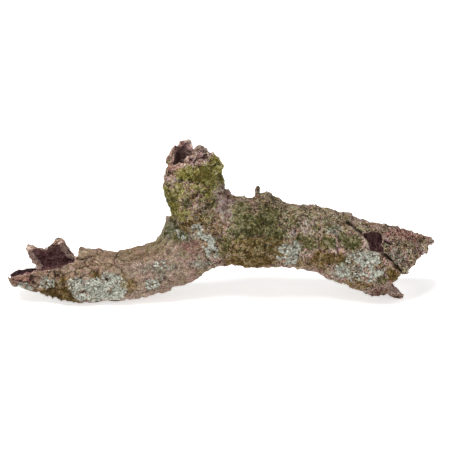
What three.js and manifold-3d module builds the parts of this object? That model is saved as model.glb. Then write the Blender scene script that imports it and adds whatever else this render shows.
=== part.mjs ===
// A hollow piece of bark from a forked branch. It stands as a low arch on the undersides of its two arms,
// with the stub of the fork upright in the middle. Both ends of the arch are torn open, and so is the stub's top.
// Six leafy lichens grow on it. Millimetres, +Z up, +X along the arch, -Y the side with the lichens.
import Module from "manifold-3d";
import * as THREE from "three";
import { mergeVertices } from "three/addons/utils/BufferGeometryUtils.js";

const wasm = await Module();
wasm.setup();

// Driving dimensions
const BARK_THICKNESS = 5;
const PLATE_PITCH = 15;
const PLATE_RISE = 1.3;
const GROOVE_DEPTH = 1.3;
const FLAP_SINK = 2.4;
const LICHEN_GAP = 0.35;
const LICHEN_THICKNESS = 1.5;
const TEAR_LEAN = THREE.MathUtils.degToRad(25);

// Routes: x, y, z and outer radius at each station
const ARCH = [
  [-203, -5, 34, 18.5],
  [-178, -5, 31.4, 20.4],
  [-154, -4, 27.2, 22.6],
  [-135, -4, 24.4, 24.5],
  [-116, -3, 22.7, 23.8],
  [-97, -3, 22.4, 23.5],
  [-83, -2, 25.3, 24.2],
  [-68, -1, 28.2, 24.2],
  [-56, -1, 33, 24],
  [-45, 0, 38.2, 24.4],
  [-33, 0, 45.6, 24.6],
  [-21, 1, 53.5, 24.8],
  [-8, 1, 61, 27],
  [5, 2, 65.3, 30],
  [19, 2, 67, 32.4],
  [36, 2, 66, 32.4],
  [55, 2, 63.4, 30.8],
  [74, 2, 61.2, 29.9],
  [93, 2, 57.2, 30.4],
  [112, 3, 50.7, 31.7],
  [131, 3, 43, 31.8],
  [150, 3, 36.4, 31.4],
  [169, 4, 31.6, 31.2],
  [187, 4, 29, 31],
];
const STUB = [
  [-12, 1, 60, 25.5],
  [-14.5, 0, 76, 26.6],
  [-19.6, -1, 91, 25.8],
  [-25.3, -2, 107, 26.2],
  [-26.6, -4, 123.7, 27.2],
  [-24, -5, 134.6, 23.4],
  [-28.5, -6, 145.6, 22],
  [-30.5, -7, 153, 20],
  [-31.5, -8, 160, 15.5],
  [-32, -8, 165, 9],
  [-32, -8, 167, 3],
];
const STUB_HOLLOW = [
  [-11, 1, 60, 20],
  [-16, 0, 77, 22],
  [-21, -1, 93, 20.5],
  [-26, -3, 110, 20],
  [-30, -4, 126, 16],
  [-33.5, -6, 139, 12.5],
  [-35.5, -7, 150, 10.8],
  [-36, -8, 162, 10.8],
  [-36.5, -9, 180, 11],
];
const FLAP = [
  [110, 3.5, 50.5, 29.4],
  [131, 5.5, 44.3, 29.5],
  [150, 5.5, 39, 29.6],
  [169, 6, 34.6, 29.2],
  [188, 6, 28.3, 28.8],
  [207, 6, 21.5, 28.8],
];

// Swellings of the arch: x, degrees round it from the top towards the front, height, reach along, reach round.
// A flare pushes the whole wall outwards, and a knot only thickens it.
const FLARES = [
  { x: 150, angle: 166, height: 5, along: 5.5, round: 15 },
  { x: 168, angle: 170, height: 2, along: 6, round: 12 },
  { x: -156, angle: -24, height: 12, along: 9, round: 17 },
  { x: -183, angle: -20, height: 3, along: 7, round: 20 },
];
const KNOTS = [
  { x: 38.5, angle: -20, height: 9, along: 5.5, round: 14 },
  { x: -130, angle: -15, height: 1, along: 8, round: 25 },
  { x: -29.5, angle: -12, height: 15, along: 7, round: 16 },
  { x: 7, angle: -22, height: 6, along: 6, round: 16 },
];
const TWIGS = [
  { base: [33, 8, 97], tip: [33.5, 9, 111], radius: 2.3 },
  { base: [5, 6, 92], tip: [4.5, 7, 108], radius: 3.6 },
  { base: [-21, 2, 143], tip: [-20.5, 1, 156.5], radius: 2.4 },
];

// Torn outlines, as x and height on a plane that leans back by TEAR_LEAN
const LEFT_NEAR_TEAR = [
  [-215, 20], [-202.4, 20.1], [-199.5, 17.3], [-191.9, 19.2], [-186.2, 21.1], [-179.6, 23], [-172.9, 23.9],
  [-161.5, 23.7], [-157.7, 25.8], [-153.9, 26.8], [-149.2, 28], [-143.5, 30.2], [-137.8, 31.7], [-137.5, 36.3],
  [-134.2, 37], [-134.9, 44], [-133.5, 52], [-134.9, 90], [-215, 90],
];
const LEFT_FAR_TEAR = [
  [-215, 20], [-202.4, 20.1], [-196.7, 23.9], [-191.9, 25.4], [-184, 26.3], [-176.7, 26], [-178.9, 30.2],
  [-180.5, 34.6], [-184, 37.5], [-185.8, 43.3], [-186.6, 46.9], [-184.3, 50.1], [-180.6, 47], [-174.8, 45.8],
  [-170, 44.8], [-165.3, 44.8], [-164.4, 48.6], [-159.6, 51.5], [-156.8, 57.2], [-153.9, 56.2], [-148.2, 50.5],
  [-143.5, 42], [-139.7, 38.2], [-134.9, 37], [-133.9, 52], [-134.9, 90], [-215, 90],
];
const LEFT_TIP_TEAR = [
  [-202.4, 20.1], [-200.4, 14.4], [-198.6, 10.2], [-194.8, 6.5], [-187, -2], [-187, -30], [-225, -30], [-225, 20.1],
];
const RIGHT_NEAR_TEAR = [
  [119.7, 68.6], [123.5, 66.2], [127.8, 64], [132.1, 58.6], [134.4, 52.4], [137.3, 47.7], [139.5, 41.6],
  [146.8, 42], [150.1, 40.1], [153.9, 38.2], [157.7, 34.4], [161.5, 30], [165.9, 24.9], [166.6, 20.1],
  [165.3, 16.3], [160.6, 13], [157.7, 8.7], [156.3, 3.5], [155.5, -6], [158, -30], [240, -30], [240, 110],
  [135, 110],
];
const RIGHT_FAR_TEAR = [
  [119.7, 68.6], [127.8, 64], [134, 55], [141, 48], [150.1, 41.5], [157.7, 35.5], [163, 27], [161.5, 19],
  [160.6, 13], [164.4, 9.7], [168.2, 4.9], [172.4, 1], [171, -3.5], [160, -4], [158, -30], [240, -30],
  [240, 110], [135, 110],
];
const FLAP_TEAR = [
  [190, 90], [194, 57.5], [196.5, 56], [198.5, 53.6], [201.4, 51.3], [198, 49.3], [195, 48.6], [193.8, 45],
  [192.3, 41.8], [187, 38.6], [185.5, 35], [183.2, 33.6], [182.3, 29.1], [177, 27], [175.9, 25.5], [176.2, 21.8],
  [172.7, 21], [166.8, 22.5], [155, 26], [142, 33], [132, 43], [120, 54], [100, 60], [100, -40], [240, -40],
  [240, 90],
];
const PEEPHOLE = [
  [130, 57], [135.5, 59.4], [141, 60.6], [148, 59.6], [151, 55], [149.6, 49.6], [150.8, 43.4], [145, 38.6],
  [138, 37], [130, 44],
];
const STUB_TOP_TEAR = [
  [-60, 131], [-53.3, 132], [-52.3, 136], [-49.5, 139.5], [-45.5, 140], [-42.8, 142], [-41.8, 144.5], [-39, 146],
  [-36.5, 145], [-34, 147], [-32, 145], [-30.4, 142], [-28.5, 138.9], [-26.5, 137], [-24, 139], [-23, 190], [-60, 190],
];
const STUB_NEAR_TEAR = [
  [-60, 137], [-51, 135], [-48.6, 130], [-47.5, 126.5], [-45.6, 123.7], [-41.8, 122.7], [-37.1, 124.6], [-33.5, 128.9],
  [-28.5, 131.3], [-25.6, 135.5], [-23.5, 190], [-60, 190],
];
const STUB_SHOULDER_TEAR = [
  [-29, 138.4], [-26.5, 137], [-24, 138.6], [-21, 139.6], [-18.6, 137.4], [-15.5, 138.4], [-12.5, 135.2],
  [-9, 134.6], [-6.6, 131.2], [-4, 129.4], [-2.4, 124.6], [0.6, 120], [30, 116], [30, 190], [-28.5, 190],
];

// Lichens: each is a few rosettes grown together, placed by x and degrees round the arch
const LICHENS = {
  lichen_left_tip: [
    { x: -186, angle: 112, reach: 7, round: 0.8 },
    { x: -176, angle: 104, reach: 6, round: 0.8 },
    { x: -165, angle: 90, reach: 7.5, round: 0.8 },
  ],
  lichen_left_arm: [
    { x: -128, angle: 88, reach: 17, round: 0.9 },
    { x: -106, angle: 86, reach: 14, round: 1 },
    { x: -107, angle: 55, reach: 11, round: 0.9 },
  ],
  lichen_left_middle: [{ x: -71, angle: 90, reach: 8, round: 0.85 }],
  lichen_fork: [
    { x: -13, angle: 76, reach: 9, round: 1.5 },
    { x: -24, angle: 88, reach: 6, round: 0.9 },
  ],
  lichen_right_middle: [
    { x: 62, angle: 96, reach: 11, round: 0.9 },
    { x: 69, angle: 114, reach: 8, round: 1.3 },
  ],
  lichen_right_end: [
    { x: 138, angle: 72, reach: 14, round: 0.9 },
    { x: 149, angle: 84, reach: 9, round: 1.2 },
    { x: 114, angle: 102, reach: 9.5, round: 0.9 },
    { x: 124, angle: 80, reach: 8, round: 0.9 },
  ],
};

// Repeatable random numbers from 0 to 1
function seeded(seed) {
  let state = seed;
  return () => {
    state = (state + 0x6d2b79f5) | 0;
    let mixed = Math.imul(state ^ (state >>> 15), 1 | state);
    mixed = (mixed + Math.imul(mixed ^ (mixed >>> 7), 61 | mixed)) ^ mixed;
    return ((mixed ^ (mixed >>> 14)) >>> 0) / 4294967296;
  };
}

// A closed solid from points and corner triples
function solid(points, triangles) {
  const vertProperties = new Float32Array(points.flatMap((point) => [point.x, point.y, point.z]));
  return new wasm.Manifold(new wasm.Mesh({ numProp: 3, vertProperties, triVerts: new Uint32Array(triangles.flat()) }));
}

function solidOf(geometry) {
  const bare = geometry.clone();
  bare.deleteAttribute("normal");
  bare.deleteAttribute("uv");
  const merged = mergeVertices(bare);
  const vertProperties = merged.attributes.position.array;
  return new wasm.Manifold(new wasm.Mesh({ numProp: 3, vertProperties, triVerts: new Uint32Array(merged.index.array) }));
}

function geometryOf(body) {
  const mesh = body.getMesh();
  const geometry = new THREE.BufferGeometry();
  geometry.setAttribute("position", new THREE.BufferAttribute(mesh.vertProperties, 3));
  geometry.setIndex(new THREE.BufferAttribute(mesh.triVerts, 1));
  return geometry;
}

function largest(body) {
  return body.decompose().sort((a, b) => b.volume() - a.volume())[0];
}

// A limb is a bent tube whose angles count from its reference side towards the front
class Limb {
  constructor(stations, reference) {
    this.route = new THREE.CatmullRomCurve3(stations.map(([x, y, z]) => new THREE.Vector3(x, y, z)));
    this.radii = new THREE.CatmullRomCurve3(stations.map(([x, , , r]) => new THREE.Vector3(r, x, 0)));
    this.reference = reference;
    this.length = this.route.getLength();
    this.girth = 2 * Math.PI * (stations.reduce((sum, station) => sum + station[3], 0) / stations.length);
  }

  at(along) {
    const t = this.route.getUtoTmapping(THREE.MathUtils.clamp(along / this.length, 0, 1));
    const tangent = this.route.getTangent(t);
    const top = this.reference.clone().addScaledVector(tangent, -this.reference.dot(tangent)).normalize();
    const front = tangent.clone().cross(top);
    return { centre: this.route.getPoint(t), radius: this.radii.getPoint(t).x, top, front };
  }

  point(along, angle, radius) {
    const { centre, top, front } = this.at(along);
    return centre.addScaledVector(top, radius * Math.cos(angle)).addScaledVector(front, radius * Math.sin(angle));
  }

  alongAt(x) {
    let [low, high] = [0, this.length];
    for (let step = 0; step < 30; step++) {
      const middle = (low + high) / 2;
      if (this.at(middle).centre.x < x) low = middle;
      else high = middle;
    }
    return low;
  }
}

const archLimb = new Limb(ARCH, new THREE.Vector3(0, 0, 1));
const stubLimb = new Limb(STUB, new THREE.Vector3(-1, 0, 0));
const flapLimb = new Limb(FLAP, new THREE.Vector3(0, 0, 1));
const stubHollowLimb = new Limb(STUB_HOLLOW, new THREE.Vector3(-1, 0, 0));

// How far a list of swellings lifts the surface at a place
function swelling(list, limb, along, angle) {
  const { x } = limb.at(along).centre;
  return list.reduce((sum, bump) => {
    const turn = Math.atan2(Math.sin(angle - THREE.MathUtils.degToRad(bump.angle)),
      Math.cos(angle - THREE.MathUtils.degToRad(bump.angle)));
    const offAlong = (x - bump.x) / bump.along;
    const offRound = THREE.MathUtils.radToDeg(turn) / bump.round;
    return sum + bump.height * Math.exp(-(offAlong ** 2 + offRound ** 2) / 2);
  }, 0);
}

// The slow unevenness of a limb's girth, which its hollow follows
function unevenness(along, angle) {
  return 0.6 * Math.sin(2 * angle + along / 23) + 0.5 * Math.sin(3 * angle - along / 31 + 1)
    + 0.5 * Math.sin(along / 14 + angle) + 0.5 * Math.sin(along / 6.5 - 2 * angle) * Math.sin(4 * angle + along / 19);
}

function archRadius(along, angle) {
  return archLimb.at(along).radius + unevenness(along, angle) + swelling(FLARES, archLimb, along, angle);
}

function stubRadius(along, angle) {
  return stubLimb.at(along).radius + 0.7 * unevenness(along, angle + 2);
}

// The flap comes out from behind the front wall's torn edge, so its front lies deeper than that wall
function flapRadius(along, angle) {
  return flapLimb.at(along).radius + 0.3 * unevenness(along, angle) - FLAP_SINK * Math.max(0, Math.sin(angle));
}

// The part of a polygon that lies nearer to one site than to another
function clipToNearer(polygon, [a, b], [otherA, otherB]) {
  const normalA = otherA - a;
  const normalB = otherB - b;
  const limit = (otherA ** 2 + otherB ** 2 - a ** 2 - b ** 2) / 2;
  const side = (point) => point[0] * normalA + point[1] * normalB - limit;
  return polygon.flatMap((point, index) => {
    const next = polygon[(index + 1) % polygon.length];
    const here = side(point);
    const there = side(next);
    const kept = here <= 0 ? [point] : [];
    if (here < 0 !== there < 0 && here !== there) {
      const share = here / (here - there);
      kept.push([point[0] + share * (next[0] - point[0]), point[1] + share * (next[1] - point[1])]);
    }
    return kept;
  });
}

// Bark plates on an unrolled limb: cells round jittered sites, with the corners that they share
function plates(length, girth, random) {
  const rows = Math.round(length / PLATE_PITCH);
  const columns = Math.round(girth / PLATE_PITCH);
  const sites = [];
  for (let row = 0; row < rows; row++) {
    for (let column = 0; column < columns; column++) {
      const a = ((row + 0.5 + 0.75 * (random() - 0.5)) * length) / rows;
      const b = ((column + 0.5 * (row % 2) + 0.75 * (random() - 0.5)) * girth) / columns;
      sites.push([a, (b + girth) % girth]);
    }
  }
  const corners = [];
  const shortestEdge = 2;
  const cornerAt = ([a, b]) => {
    const found = corners.findIndex(([otherA, otherB]) => {
      const offRound = Math.abs(((b - otherB) % girth + 1.5 * girth) % girth - girth / 2);
      return Math.hypot(a - otherA, offRound) < shortestEdge;
    });
    return found >= 0 ? found : corners.push([a, b]) - 1;
  };
  const reach = 3 * PLATE_PITCH;
  const cells = sites.map(([a, b], index) => {
    const [low, high] = [Math.max(0, a - reach), Math.min(length, a + reach)];
    let polygon = [[low, b - reach], [high, b - reach], [high, b + reach], [low, b + reach]];
    sites.forEach(([otherA, otherB], other) => {
      for (const shift of [-girth, 0, girth]) {
        const near = Math.hypot(otherA - a, otherB + shift - b) < reach;
        if (near && (other !== index || shift !== 0)) polygon = clipToNearer(polygon, [a, b], [otherA, otherB + shift]);
      }
    });
    return { outline: polygon.map((point) => ({ place: point, corner: cornerAt(point) })) };
  });
  return { corners, cells };
}

// The bark is deeply cracked on the left arm and smoother towards the right
function cracking(limb, along) {
  return 1.1 - 0.5 * THREE.MathUtils.smoothstep(limb.at(along).centre.x, -50, 30);
}

// A closed limb whose skin is raised bark plates with grooves between them
function platedLimb(limb, radiusAt, seed, lift) {
  const random = seeded(seed);
  const { corners, cells } = plates(limb.length, limb.girth, random);
  const angleOf = (b) => (b / limb.girth) * 2 * Math.PI;
  const skin = (a, b, height) => limb.point(a, angleOf(b), radiusAt(a, angleOf(b)) + height + lift);
  const points = corners.map(([a, b]) => skin(a, b, -GROOVE_DEPTH * cracking(limb, a) * (0.4 + 0.9 * random())));
  const startCap = points.push(limb.point(0, 0, 0)) - 1;
  const endCap = points.push(limb.point(limb.length, 0, 0)) - 1;
  const triangles = [];
  for (const { outline } of cells) {
    const ring = outline.filter((entry, index) => entry.corner !== outline[(index + 1) % outline.length].corner);
    if (ring.length < 3) continue;
    const middleA = ring.reduce((sum, { place }) => sum + place[0], 0) / ring.length;
    const middleB = ring.reduce((sum, { place }) => sum + place[1], 0) / ring.length;
    const rise = PLATE_RISE * random() * cracking(limb, middleA);
    const inset = 0.16 + 0.22 * random();
    const tilt = 0.08 * (random() - 0.5);
    const inner = ring.map(({ place: [a, b] }) => {
      const height = rise + tilt * (a - middleA);
      return points.push(skin(a + inset * (middleA - a), b + inset * (middleB - b), height)) - 1;
    });
    const middle = points.push(skin(middleA, middleB, rise + 0.4)) - 1;
    ring.forEach(({ place, corner }, index) => {
      const following = (index + 1) % ring.length;
      const next = ring[following];
      triangles.push([next.corner, corner, inner[index]]);
      triangles.push([next.corner, inner[index], inner[following]]);
      triangles.push([inner[following], inner[index], middle]);
      if (place[0] < 1e-6 && next.place[0] < 1e-6) triangles.push([corner, next.corner, startCap]);
      if (place[0] > limb.length - 1e-6 && next.place[0] > limb.length - 1e-6) {
        triangles.push([corner, next.corner, endCap]);
      }
    });
  }
  return solid(points, triangles);
}

// The smooth-walled space inside a limb, as a closed solid
function hollow(limb, radiusAt, rings, sides) {
  const points = [];
  for (let ring = 0; ring <= rings; ring++) {
    const along = (ring / rings) * limb.length;
    for (let side = 0; side < sides; side++) {
      const angle = ((side + 0.5 * (ring % 2)) / sides) * 2 * Math.PI;
      points.push(limb.point(along, angle, radiusAt(along, angle)));
    }
  }
  const startCap = points.push(limb.point(0, 0, 0)) - 1;
  const endCap = points.push(limb.point(limb.length, 0, 0)) - 1;
  const triangles = [];
  for (let side = 0; side < sides; side++) {
    const next = (side + 1) % sides;
    for (let ring = 0; ring < rings; ring++) {
      const [near, far] = [ring * sides, (ring + 1) * sides];
      if (ring % 2 === 0) {
        triangles.push([near + side, near + next, far + side], [near + next, far + next, far + side]);
      } else {
        triangles.push([near + side, near + next, far + next], [near + side, far + next, far + side]);
      }
    }
    triangles.push([next, side, startCap]);
    triangles.push([rings * sides + side, rings * sides + next, endCap]);
  }
  return solid(points, triangles);
}

// A cutter with a torn outline drawn on the leaning plane, from depth near to depth far behind that plane
function tear(outline, near, far) {
  const shape = new THREE.Shape(outline.map(([x, height]) => new THREE.Vector2(x, height)));
  const geometry = new THREE.ExtrudeGeometry(shape, { depth: far - near, bevelEnabled: false });
  geometry.translate(0, 0, -far);
  geometry.rotateX(Math.PI / 2 - TEAR_LEAN);
  return solidOf(geometry);
}

// A short blunt twig end
function twig({ base, tip, radius }) {
  const from = new THREE.Vector3(...base);
  const axis = new THREE.Vector3(...tip).sub(from);
  const profile = [[0, 0], [radius, 0], [0.75 * radius, 0.6], [1.15 * radius, 0.82], [0.5 * radius, 1], [0, 1]];
  const geometry = new THREE.LatheGeometry(profile.map(([r, h]) => new THREE.Vector2(r, h * axis.length())), 7);
  geometry.applyQuaternion(new THREE.Quaternion().setFromUnitVectors(new THREE.Vector3(0, 1, 0), axis.clone().normalize()));
  geometry.translate(from.x, from.y, from.z);
  return solidOf(geometry);
}

// A lobed rosette that lies on the bark: a slab whose top follows the plates, and whose underside is cut away later
function rosette({ x, angle, reach, round }, barkMesh, random) {
  const spokesPerLobe = 4;
  const lobeCount = Math.round(0.55 * reach) + 2;
  const spokes = spokesPerLobe * lobeCount;
  const rings = [0.42, 0.76, 1];
  const thickness = [0.8, 1, 0.6];
  const lobing = [0, 0.35, 1];
  const centreAlong = archLimb.alongAt(x);
  const centreAngle = THREE.MathUtils.degToRad(angle);
  const raycaster = new THREE.Raycaster();
  const onBark = (along, around, height) => {
    const outside = archLimb.point(along, around, 90);
    const inward = archLimb.point(along, around, 0).sub(outside).normalize();
    raycaster.set(outside, inward);
    const [hit] = raycaster.intersectObject(barkMesh);
    return hit.point.addScaledVector(inward, -height);
  };
  const place = (share, turn, lobe) => {
    const out = reach * share * lobe;
    return [centreAlong + out * Math.cos(turn), centreAngle + (round * out * Math.sin(turn)) / 28];
  };
  const points = [onBark(centreAlong, centreAngle, LICHEN_GAP + 0.7 * LICHEN_THICKNESS)];
  const bulge = (spoke) => Math.sin((Math.PI * (spoke % spokesPerLobe)) / spokesPerLobe);
  const lobes = Array.from({ length: spokes }, (_, spoke) => 0.7 + 0.27 * bulge(spoke) ** 0.6 + 0.1 * (random() - 0.5));
  rings.forEach((share, ring) => {
    lobes.forEach((lobe, spoke) => {
      const out = THREE.MathUtils.lerp(0.88, lobe, lobing[ring]);
      const [along, around] = place(share, (spoke / spokes) * 2 * Math.PI, out);
      const height = LICHEN_THICKNESS * (thickness[ring] + lobing[ring] * 0.25 * (bulge(spoke) - 1) + 0.3 * (random() - 0.5));
      points.push(onBark(along, around, LICHEN_GAP + height));
    });
  });
  const under = points.map((point) => {
    const nearest = archLimb.at(archLimb.alongAt(point.x)).centre;
    return point.clone().lerp(nearest, 0.16);
  });
  const count = points.length;
  const triangles = [];
  const both = (a, b, c) => triangles.push([a, b, c], [a + count, c + count, b + count]);
  for (let spoke = 0; spoke < spokes; spoke++) {
    const next = (spoke + 1) % spokes;
    both(0, 1 + next, 1 + spoke);
    for (let ring = 0; ring < rings.length - 1; ring++) {
      const [near, far] = [1 + ring * spokes, 1 + (ring + 1) * spokes];
      both(near + spoke, near + next, far + spoke);
      both(near + next, far + next, far + spoke);
    }
    const rim = 1 + (rings.length - 1) * spokes;
    triangles.push([rim + spoke, rim + next, rim + spoke + count], [rim + next, rim + next + count, rim + spoke + count]);
  }
  return solid([...points, ...under], triangles);
}

// The outside of the fork, with its skin lifted by a set height
function forkOutside(lift) {
  const arch = platedLimb(archLimb, (a, t) => archRadius(a, t) + swelling(KNOTS, archLimb, a, t), 7, lift);
  const stub = platedLimb(stubLimb, stubRadius, 19, lift);
  return arch.add(stub);
}

// Depths behind the leaning plane at which the torn outlines change from the near wall to the far wall
const FRONT = -250;
const BACK = 250;
const LEFT_MIDDLE = -16;
const RIGHT_MIDDLE = -12;
const STUB_MIDDLE = -70;

function buildBark() {
  const archHollow = hollow(archLimb, (a, t) => archRadius(a, t) - BARK_THICKNESS, 46, 16);
  const stubHollow = hollow(stubHollowLimb, (a, t) => stubHollowLimb.at(a).radius + 0.5 * unevenness(a, t), 14, 14);
  const fork = forkOutside(0)
    .subtract(tear(STUB_SHOULDER_TEAR, FRONT, BACK))
    .add(twig(TWIGS[0]))
    .add(twig(TWIGS[1]))
    .add(twig(TWIGS[2]))
    .subtract(archHollow)
    .subtract(stubHollow)
    .subtract(tear(LEFT_NEAR_TEAR, FRONT, LEFT_MIDDLE))
    .subtract(tear(LEFT_FAR_TEAR, LEFT_MIDDLE - 1, BACK))
    .subtract(tear(LEFT_TIP_TEAR, FRONT, BACK))
    .subtract(tear(RIGHT_NEAR_TEAR, FRONT, RIGHT_MIDDLE))
    .subtract(tear(RIGHT_FAR_TEAR, RIGHT_MIDDLE - 1, BACK))
    .subtract(tear(STUB_TOP_TEAR, STUB_MIDDLE - 1, BACK))
    .subtract(tear(STUB_NEAR_TEAR, FRONT, STUB_MIDDLE));
  const flap = platedLimb(flapLimb, flapRadius, 31, 0)
    .subtract(hollow(flapLimb, (a, t) => flapRadius(a, t) - BARK_THICKNESS, 12, 16))
    .subtract(tear(FLAP_TEAR, FRONT, BACK))
    .subtract(tear(PEEPHOLE, FRONT, RIGHT_MIDDLE));
  const ground = solidOf(new THREE.BoxGeometry(600, 200, 100).translate(0, 0, -50));
  return largest(fork.add(flap).subtract(ground));
}

const outside = forkOutside(0);
const barkSkin = new THREE.Mesh(geometryOf(outside), new THREE.MeshBasicMaterial());
const liftedSkin = forkOutside(LICHEN_GAP);

function buildLichen(rosettes, seed) {
  const random = seeded(seed);
  const grown = rosettes.map((entry) => rosette(entry, barkSkin, random)).reduce((all, one) => all.add(one));
  return largest(grown.subtract(liftedSkin).subtract(tear(RIGHT_NEAR_TEAR, FRONT, BACK)));
}

const MATERIALS = {
  bark: new THREE.MeshStandardMaterial({ color: 0x7d6a54, roughness: 0.95, metalness: 0, flatShading: true }),
  lichen: new THREE.MeshStandardMaterial({ color: 0xaab8a6, roughness: 0.9, metalness: 0, flatShading: true }),
};

const piece = new THREE.Group();

const bark = new THREE.Mesh(geometryOf(buildBark()), MATERIALS.bark);
bark.name = "bark";
piece.add(bark);

Object.entries(LICHENS).forEach(([name, rosettes], index) => {
  const lichen = new THREE.Mesh(geometryOf(buildLichen(rosettes, 100 + index)), MATERIALS.lichen);
  lichen.name = name;
  piece.add(lichen);
});

// The origin is on the ground, under the middle of the piece
const box = new THREE.Box3().setFromObject(piece);
const middle = box.getCenter(new THREE.Vector3());
piece.children.forEach((mesh) => mesh.geometry.translate(-middle.x, -middle.y, -box.min.z));

export default piece;
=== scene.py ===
# A hollow piece of bark from a forked branch, with moss and leafy lichens on it.
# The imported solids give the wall, its torn ends and the lichens' places; this script gives them their skin.
import math

import bmesh
import bpy
import numpy as np
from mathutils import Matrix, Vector
from mathutils.bvhtree import BVHTree


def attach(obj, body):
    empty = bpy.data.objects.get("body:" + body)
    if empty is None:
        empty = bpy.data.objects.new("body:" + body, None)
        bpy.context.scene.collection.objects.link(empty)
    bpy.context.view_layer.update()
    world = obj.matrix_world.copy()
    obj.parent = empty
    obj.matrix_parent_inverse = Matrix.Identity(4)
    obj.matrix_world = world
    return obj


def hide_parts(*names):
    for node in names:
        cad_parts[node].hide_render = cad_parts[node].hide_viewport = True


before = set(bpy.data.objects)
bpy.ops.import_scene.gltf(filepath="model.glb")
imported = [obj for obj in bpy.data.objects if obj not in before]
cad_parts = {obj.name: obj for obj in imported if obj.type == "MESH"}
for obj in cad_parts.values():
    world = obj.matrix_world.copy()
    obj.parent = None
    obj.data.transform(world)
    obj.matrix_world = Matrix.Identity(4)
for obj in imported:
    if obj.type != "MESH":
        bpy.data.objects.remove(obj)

scene = bpy.context.scene
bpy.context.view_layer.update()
MM = 0.001


# The view: the photograph looks down by 25 degrees, square to the arch, through a long lens. PHOTO_ZERO is
# the image place of the origin, PHOTO_SCALE is image points to a metre, and STEP_BACK allows for the bark's
# face, which is a little nearer than its middle.
ELEVATION = math.radians(25)
PHOTO_ZERO = (221.5, 295.0)
PHOTO_SCALE = 1052.5
PHOTO_SIDE = 450
LENS = 200
SENSOR = 36
STEP_BACK = 1.004
BACK = Vector((0, -math.cos(ELEVATION), math.sin(ELEVATION)))
UP = Vector((0, math.sin(ELEVATION), math.cos(ELEVATION)))

camera_data = bpy.data.cameras.new("camera")
camera_data.lens = LENS
camera_data.sensor_width = SENSOR
camera = bpy.data.objects.new("camera", camera_data)
scene.collection.objects.link(camera)
aim = Vector(((PHOTO_SIDE / 2 - PHOTO_ZERO[0]) / PHOTO_SCALE, 0, 0))
aim += UP * ((PHOTO_ZERO[1] - PHOTO_SIDE / 2) / PHOTO_SCALE)
distance = STEP_BACK * PHOTO_SIDE / PHOTO_SCALE / SENSOR * LENS
camera.location = aim + BACK * distance
camera.rotation_euler = BACK.to_track_quat("Z", "Y").to_euler()
camera_data.clip_end = 20
scene.camera = camera


def photo_place(points):
    """Where points lie in the photograph, across from its left and down from its top, in image points."""
    across = PHOTO_ZERO[0] + PHOTO_SCALE * points[:, 0]
    down = PHOTO_ZERO[1] - PHOTO_SCALE * (points @ np.array(UP))
    return across, down


# The wall of bark: a rotted branch's outer layer, 5 mm thick, dry and brittle, with plates parted by cracks
# outside and a dark fibrous face inside. It is the CAD wall, remeshed finely and weathered by moving its
# points, so every crack and crumb stands where the solid has its plates.
WALL_VOXEL = 1.15 * MM
WALL_FACES = 196000
SPECK_POINTS = 100


def hashed(cells, seed):
    """Three repeatable numbers from 0 to 1 for each cell of a cubic lattice."""
    cells = cells.astype(np.int64)
    mixed = cells[..., 0] * 73856093 ^ cells[..., 1] * 19349663
    mixed = mixed ^ cells[..., 2] * 83492791 ^ seed * 2654435761
    numbers = []
    for step in range(3):
        mixed = (mixed ^ (mixed >> 13)) * (1274126177 + 2 * step) & 0x7FFFFFFF
        numbers.append((mixed ^ (mixed >> 16) & 0xFFFF) % 65536 / 65535)
    return np.stack(numbers, axis=-1)


def waves(points, size, seed):
    """Smooth noise from -1 to 1, with humps about size apart."""
    place = points / size
    base = np.floor(place)
    part = place - base
    ease = part * part * (3 - 2 * part)
    total = np.zeros(len(points))
    for corner in np.ndindex(2, 2, 2):
        weight = np.prod(np.where(np.array(corner), ease, 1 - ease), axis=1)
        total += weight * (hashed(base + np.array(corner), seed)[:, 0] * 2 - 1)
    return total


def grain(points, size, seed, octaves=3):
    """Rough noise from about -1 to 1: waves with finer and weaker ones on them."""
    total, strength = np.zeros(len(points)), 1.0
    for octave in range(octaves):
        total += strength * waves(points, size / 2 ** octave, seed + octave)
        strength /= 2
    return total


def crumbs(points, size, seed):
    """How far the nearest crumb is, in units of size, how much farther the next is, and its number."""
    place = points / size
    base = np.floor(place)
    nearest = np.full(len(points), 9.0)
    second = np.full(len(points), 9.0)
    number = np.zeros(len(points))
    for shift in np.ndindex(3, 3, 3):
        cell = base + np.array(shift) - 1
        draws = hashed(cell, seed)
        gap = np.linalg.norm(cell + draws - place, axis=1)
        closer = gap < nearest
        second = np.where(closer, nearest, np.minimum(second, gap))
        number = np.where(closer, draws[:, 0], number)
        nearest = np.where(closer, gap, nearest)
    return nearest, second - nearest, number


def step_between(low, high, value):
    """0 below low, 1 above high, and smooth between."""
    share = np.clip((value - low) / (high - low), 0, 1)
    return share * share * (3 - 2 * share)


def points_of(mesh):
    """A mesh's points and normals as arrays."""
    points = np.empty(3 * len(mesh.vertices))
    normals = np.empty(3 * len(mesh.vertices))
    mesh.vertices.foreach_get("co", points)
    mesh.vertices.foreach_get("normal", normals)
    return points.reshape(-1, 3), normals.reshape(-1, 3)


def move_points(mesh, points):
    """Puts a mesh's points at new places."""
    mesh.vertices.foreach_set("co", points.ravel())
    mesh.update()


def edges_of(mesh):
    """The pairs of points that a mesh's edges join."""
    pairs = np.empty(2 * len(mesh.edges), dtype=np.int32)
    mesh.edges.foreach_get("vertices", pairs)
    return pairs.reshape(-1, 2)


def evened(values, pairs, rounds):
    """Values at a mesh's points after some rounds of averaging with their neighbours."""
    count = np.bincount(pairs.ravel(), minlength=len(values)).astype(float)
    count[count == 0] = 1
    for _ in range(rounds):
        total = np.zeros_like(values)
        for column in range(values.shape[1]):
            total[:, column] = (
                np.bincount(pairs[:, 0], values[pairs[:, 1], column], len(values))
                + np.bincount(pairs[:, 1], values[pairs[:, 0], column], len(values))
            )
        values = (values + total / count[:, None]) / 2
    return values


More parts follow.
